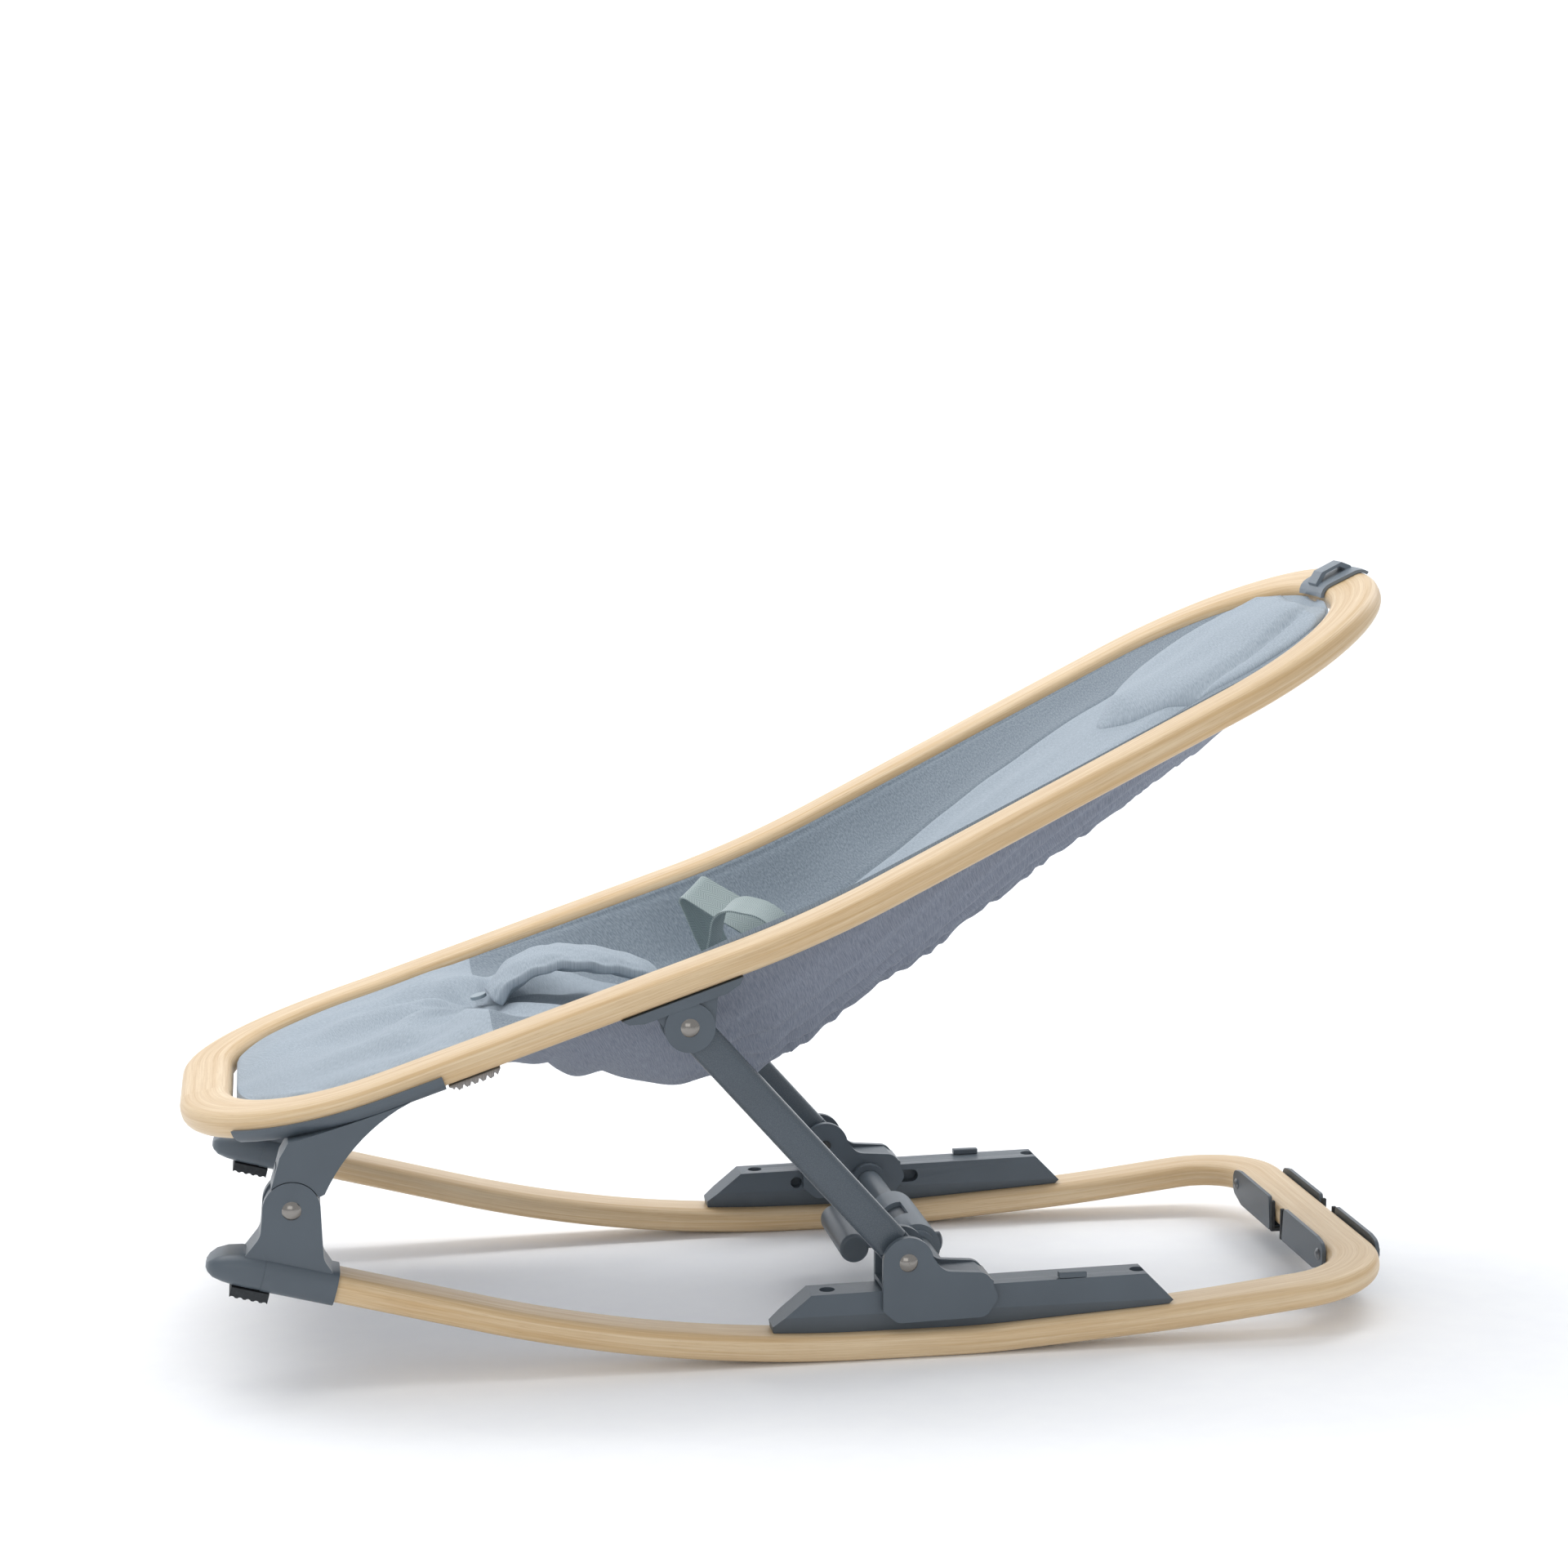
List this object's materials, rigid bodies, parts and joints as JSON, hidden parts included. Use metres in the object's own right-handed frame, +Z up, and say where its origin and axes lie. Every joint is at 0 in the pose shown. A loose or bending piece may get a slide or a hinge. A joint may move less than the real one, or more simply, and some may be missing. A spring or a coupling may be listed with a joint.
{
  "type": "baby bouncer seat",
  "caption": "Bentwood rocking bouncer with a hanging padded seat that reclines on two links and a sliding, locking carriage.",
  "frame": {"origin": "on the floor under the middle of the whole object's box", "axes": "+X towards the head end, +Y across to the right side, +Z up"},
  "size_m": [0.8834, 0.366, 0.544],
  "materials": {
    "bent_wood": "clear matt lacquer over bent laminated birch or oak",
    "moulded_plastic": "satin slate grey moulded polymer",
    "light_plastic": "satin light grey moulded polymer",
    "rubber_edge": "matt soft rubber",
    "steel": "plated and polished steel",
    "painted_tube": "powder-coated tube",
    "sling_cloth": "woven mesh-backed cloth",
    "padded_cloth": "brushed melange jersey over wadding",
    "webbing": "herringbone webbing"
  },
  "bodies": {
    "base": {"base_frame": "bent_wood", "front_cap_left": "moulded_plastic", "front_cap_right": "moulded_plastic", "foot_pad_left": "rubber_edge", "foot_pad_right": "rubber_edge", "front_hinge_pin_left": "steel", "front_hinge_pin_right": "steel", "rail_screws": "steel", "track_left": "moulded_plastic", "track_right": "moulded_plastic", "track_stop_left": "moulded_plastic", "track_stop_right": "moulded_plastic", "track_screws": "steel", "stand_bolt_left": "steel", "stand_bolt_right": "steel"},
    "seat": {"seat_ring": "bent_wood", "front_bracket_left": "moulded_plastic", "front_bracket_right": "moulded_plastic", "upper_bracket_left": "moulded_plastic", "upper_bracket_right": "moulded_plastic", "upper_pin_left": "steel", "upper_pin_right": "steel", "bracket_screws": "steel", "seat_sling": "sling_cloth", "seat_liner": "padded_cloth", "head_pillow": "padded_cloth", "crotch_strap": "padded_cloth", "snap_button": "moulded_plastic", "waist_strap_left": "webbing", "waist_strap_right": "webbing", "buckle_tongue": "moulded_plastic", "buckle_socket": "moulded_plastic", "liner_tab_left": "sling_cloth", "liner_tab_right": "sling_cloth", "head_clip": "light_plastic"},
    "links": {"link_left": "moulded_plastic", "link_right": "moulded_plastic", "link_head_left": "moulded_plastic", "link_head_right": "moulded_plastic", "link_foot_left": "moulded_plastic", "link_foot_right": "moulded_plastic"},
    "carriage": {"carriage_left": "moulded_plastic", "carriage_right": "moulded_plastic", "carriage_pin_left": "steel", "carriage_pin_right": "steel", "cross_tube": "painted_tube", "release_housing": "light_plastic"},
    "release_lever": {"release_lever": "moulded_plastic"},
    "release_button": {"release_button": "moulded_plastic"},
    "lock_pin_left": {"lock_pin_left": "steel", "lock_spring_left": "steel"},
    "lock_pin_right": {"lock_pin_right": "steel", "lock_spring_right": "steel"},
    "rear_stand_left": {"rear_stand_left": "moulded_plastic", "stand_foot_left": "rubber_edge"},
    "rear_stand_right": {"rear_stand_right": "moulded_plastic", "stand_foot_right": "rubber_edge"}
  },
  "joints": [
    {"name": "recline", "type": "hinge", "parent": "base", "child": "seat", "pos_m": [-0.3658, 0, 0.1273], "axis": [0, -1, 0], "range_deg": [-5, 5]},
    {"name": "carriage_slide", "type": "slide", "parent": "base", "child": "carriage", "axis": [0.9999, 0, 0.0157], "range_m": [-0.0375, 0.0375]},
    {"name": "link_swing", "type": "hinge", "parent": "seat", "child": "links", "pos_m": [-0.094, 0, 0.2432], "axis": [0, -1, 0], "range_deg": [-14, 14]},
    {"name": "release_turn", "type": "hinge", "parent": "carriage", "child": "release_lever", "pos_m": [0.093, 0, 0.0405], "axis": [0, 1, 0], "range_deg": [0, 25], "stiffness_Nm_per_rad": 0.5, "springref_deg": -17.19},
    {"name": "release_press", "type": "slide", "parent": "carriage", "child": "release_button", "axis": [-1, 0, 0], "range_m": [0, 0.003], "stiffness_N_per_m": 400, "springref_m": -0.001},
    {"name": "lock_left", "type": "slide", "parent": "carriage", "child": "lock_pin_left", "axis": [0, 1, 0], "range_m": [0, 0.0079], "deforming": ["lock_spring_left"]},
    {"name": "lock_right", "type": "slide", "parent": "carriage", "child": "lock_pin_right", "axis": [0, -1, 0], "range_m": [0, 0.0079], "deforming": ["lock_spring_right"]},
    {"name": "stand_left", "type": "hinge", "parent": "base", "child": "rear_stand_left", "pos_m": [0.40872, -0.098, 0.03652], "axis": [-1, 0, 0], "range_deg": [0, 90]},
    {"name": "stand_right", "type": "hinge", "parent": "base", "child": "rear_stand_right", "pos_m": [0.40872, 0.098, 0.03652], "axis": [1, 0, 0], "range_deg": [0, 90]}
  ],
  "couplings": [
    {"joint": "carriage_slide", "follows": "recline", "m_per_rad": -0.4267},
    {"joint": "link_swing", "follows": "recline", "ratio": -2.7836},
    {"joint": "lock_left", "follows": "release_turn", "m_per_rad": 0.018},
    {"joint": "lock_right", "follows": "release_turn", "m_per_rad": 0.018}
  ]
}
